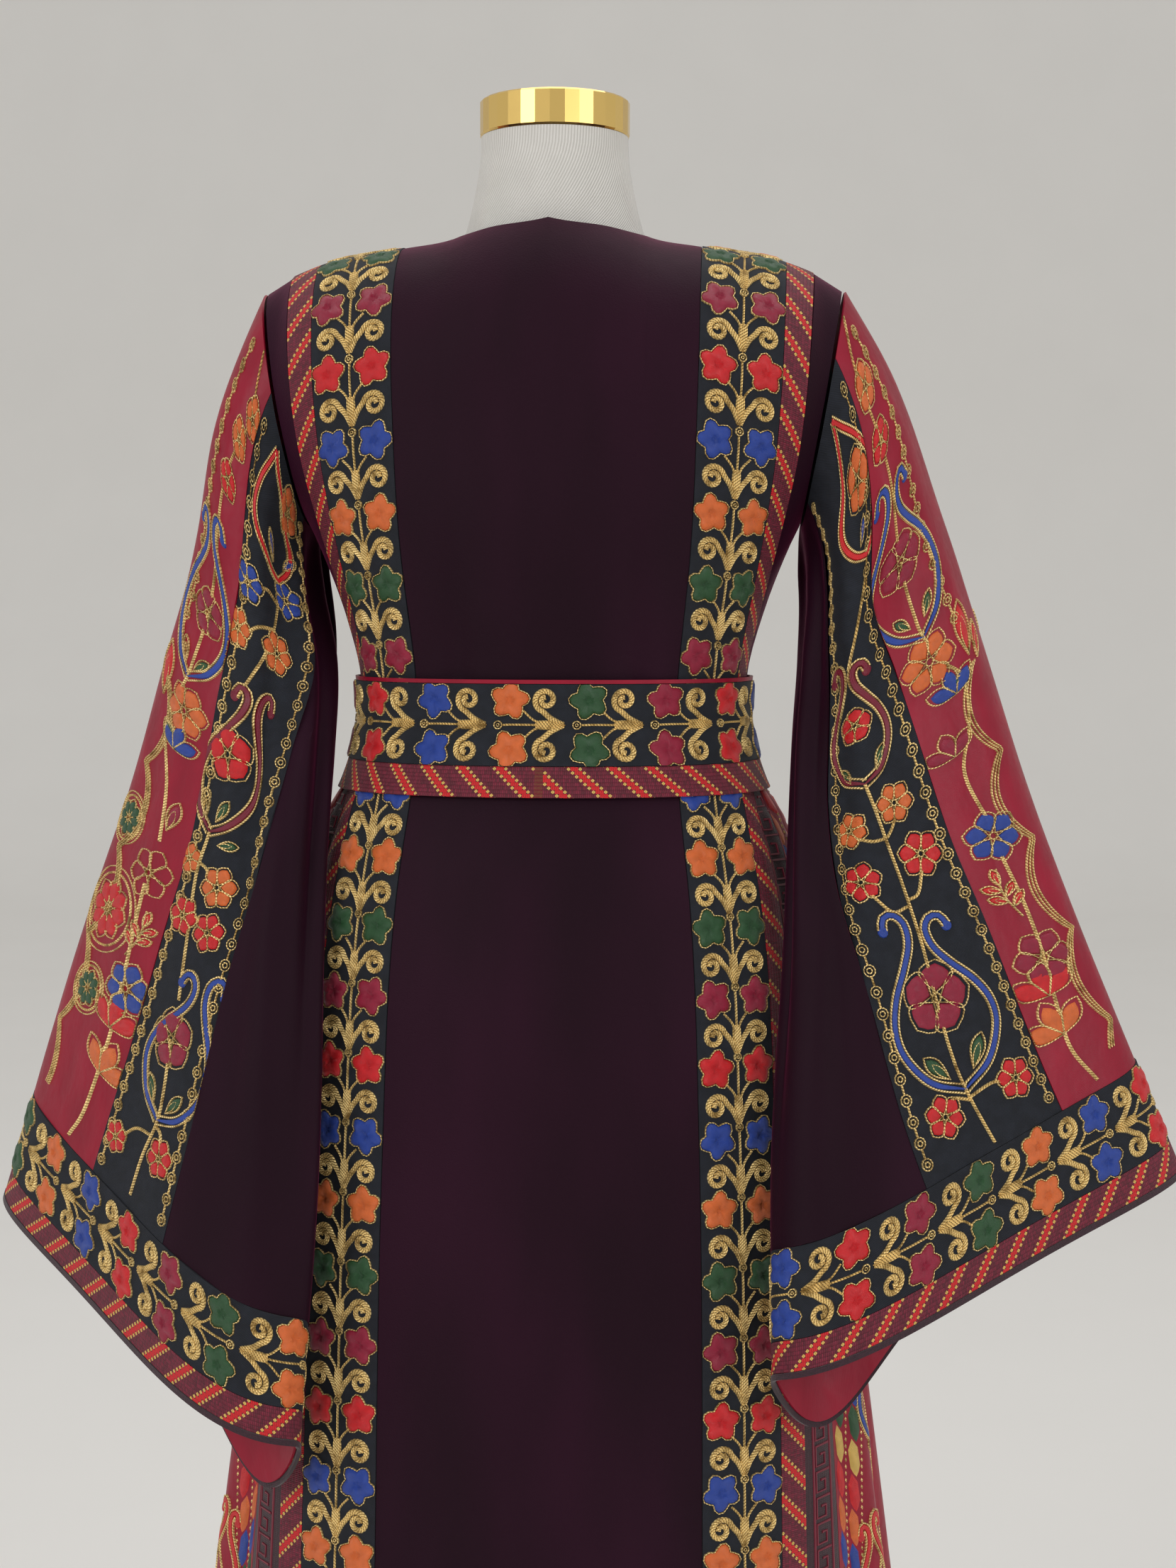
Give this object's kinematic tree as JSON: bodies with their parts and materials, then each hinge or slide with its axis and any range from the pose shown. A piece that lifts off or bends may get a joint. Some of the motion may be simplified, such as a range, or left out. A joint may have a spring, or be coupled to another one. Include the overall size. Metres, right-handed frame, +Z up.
{
  "type": "palestinian thobe dress on a dress form",
  "caption": "Long dark velvet dress with couched flower borders, wide winged satin and twill sleeves and a broad belt, worn on a limbless dress form with a round stand",
  "frame": {"origin": "middle of the stand's flat underside, on the floor", "axes": "+Z up; the back of the dress, the side in the picture, faces -Y and its front +Y; +X is the wearer's right-hand side, to the right in the picture"},
  "size_m": [0.833, 0.4114, 1.5],
  "materials": {
    "velvet": "short dark aubergine pile",
    "twill": "matt blue-black twill under couched cord",
    "satin": "glossy crimson satin",
    "tape": "maroon cross-stitched tape",
    "fret": "black cloth with maroon cross-stitch",
    "binding": "dark braid",
    "form_cloth": "off-white ribbed jersey",
    "cap_metal": "polished",
    "stand_metal": "satin"
  },
  "bodies": {
    "root": {"belt_border": "twill", "belt_piping": "satin", "belt_tape": "tape", "bodice_back": "velvet", "bodice_border_left": "twill", "bodice_border_right": "twill", "bodice_front": "velvet", "bodice_side_left": "velvet", "bodice_side_right": "velvet", "bodice_tape_left": "tape", "bodice_tape_right": "tape", "cuff_binding_left": "binding", "cuff_binding_right": "binding", "cuff_border_left": "twill", "cuff_border_right": "twill", "cuff_facing_left": "satin", "cuff_facing_right": "satin", "cuff_tape_left": "tape", "cuff_tape_right": "tape", "form_cap": "cap_metal", "form_torso": "form_cloth", "skirt_back": "velvet", "skirt_border_back_left": "twill", "skirt_border_back_right": "twill", "skirt_border_front_left": "twill", "skirt_border_front_right": "twill", "skirt_fret_back_left": "fret", "skirt_fret_back_right": "fret", "skirt_fret_front_left": "fret", "skirt_fret_front_right": "fret", "skirt_front": "velvet", "skirt_side_left": "satin", "skirt_side_right": "satin", "skirt_tape_back_left": "tape", "skirt_tape_back_right": "tape", "skirt_tape_front_left": "tape", "skirt_tape_front_right": "tape", "sleeve_gore_left": "velvet", "sleeve_gore_right": "velvet", "sleeve_satin_left": "satin", "sleeve_satin_right": "satin", "sleeve_twill_back_left": "twill", "sleeve_twill_back_right": "twill", "sleeve_twill_front_left": "twill", "sleeve_twill_front_right": "twill", "stand_base": "stand_metal", "stand_pole": "stand_metal"}
  },
  "joints": []
}
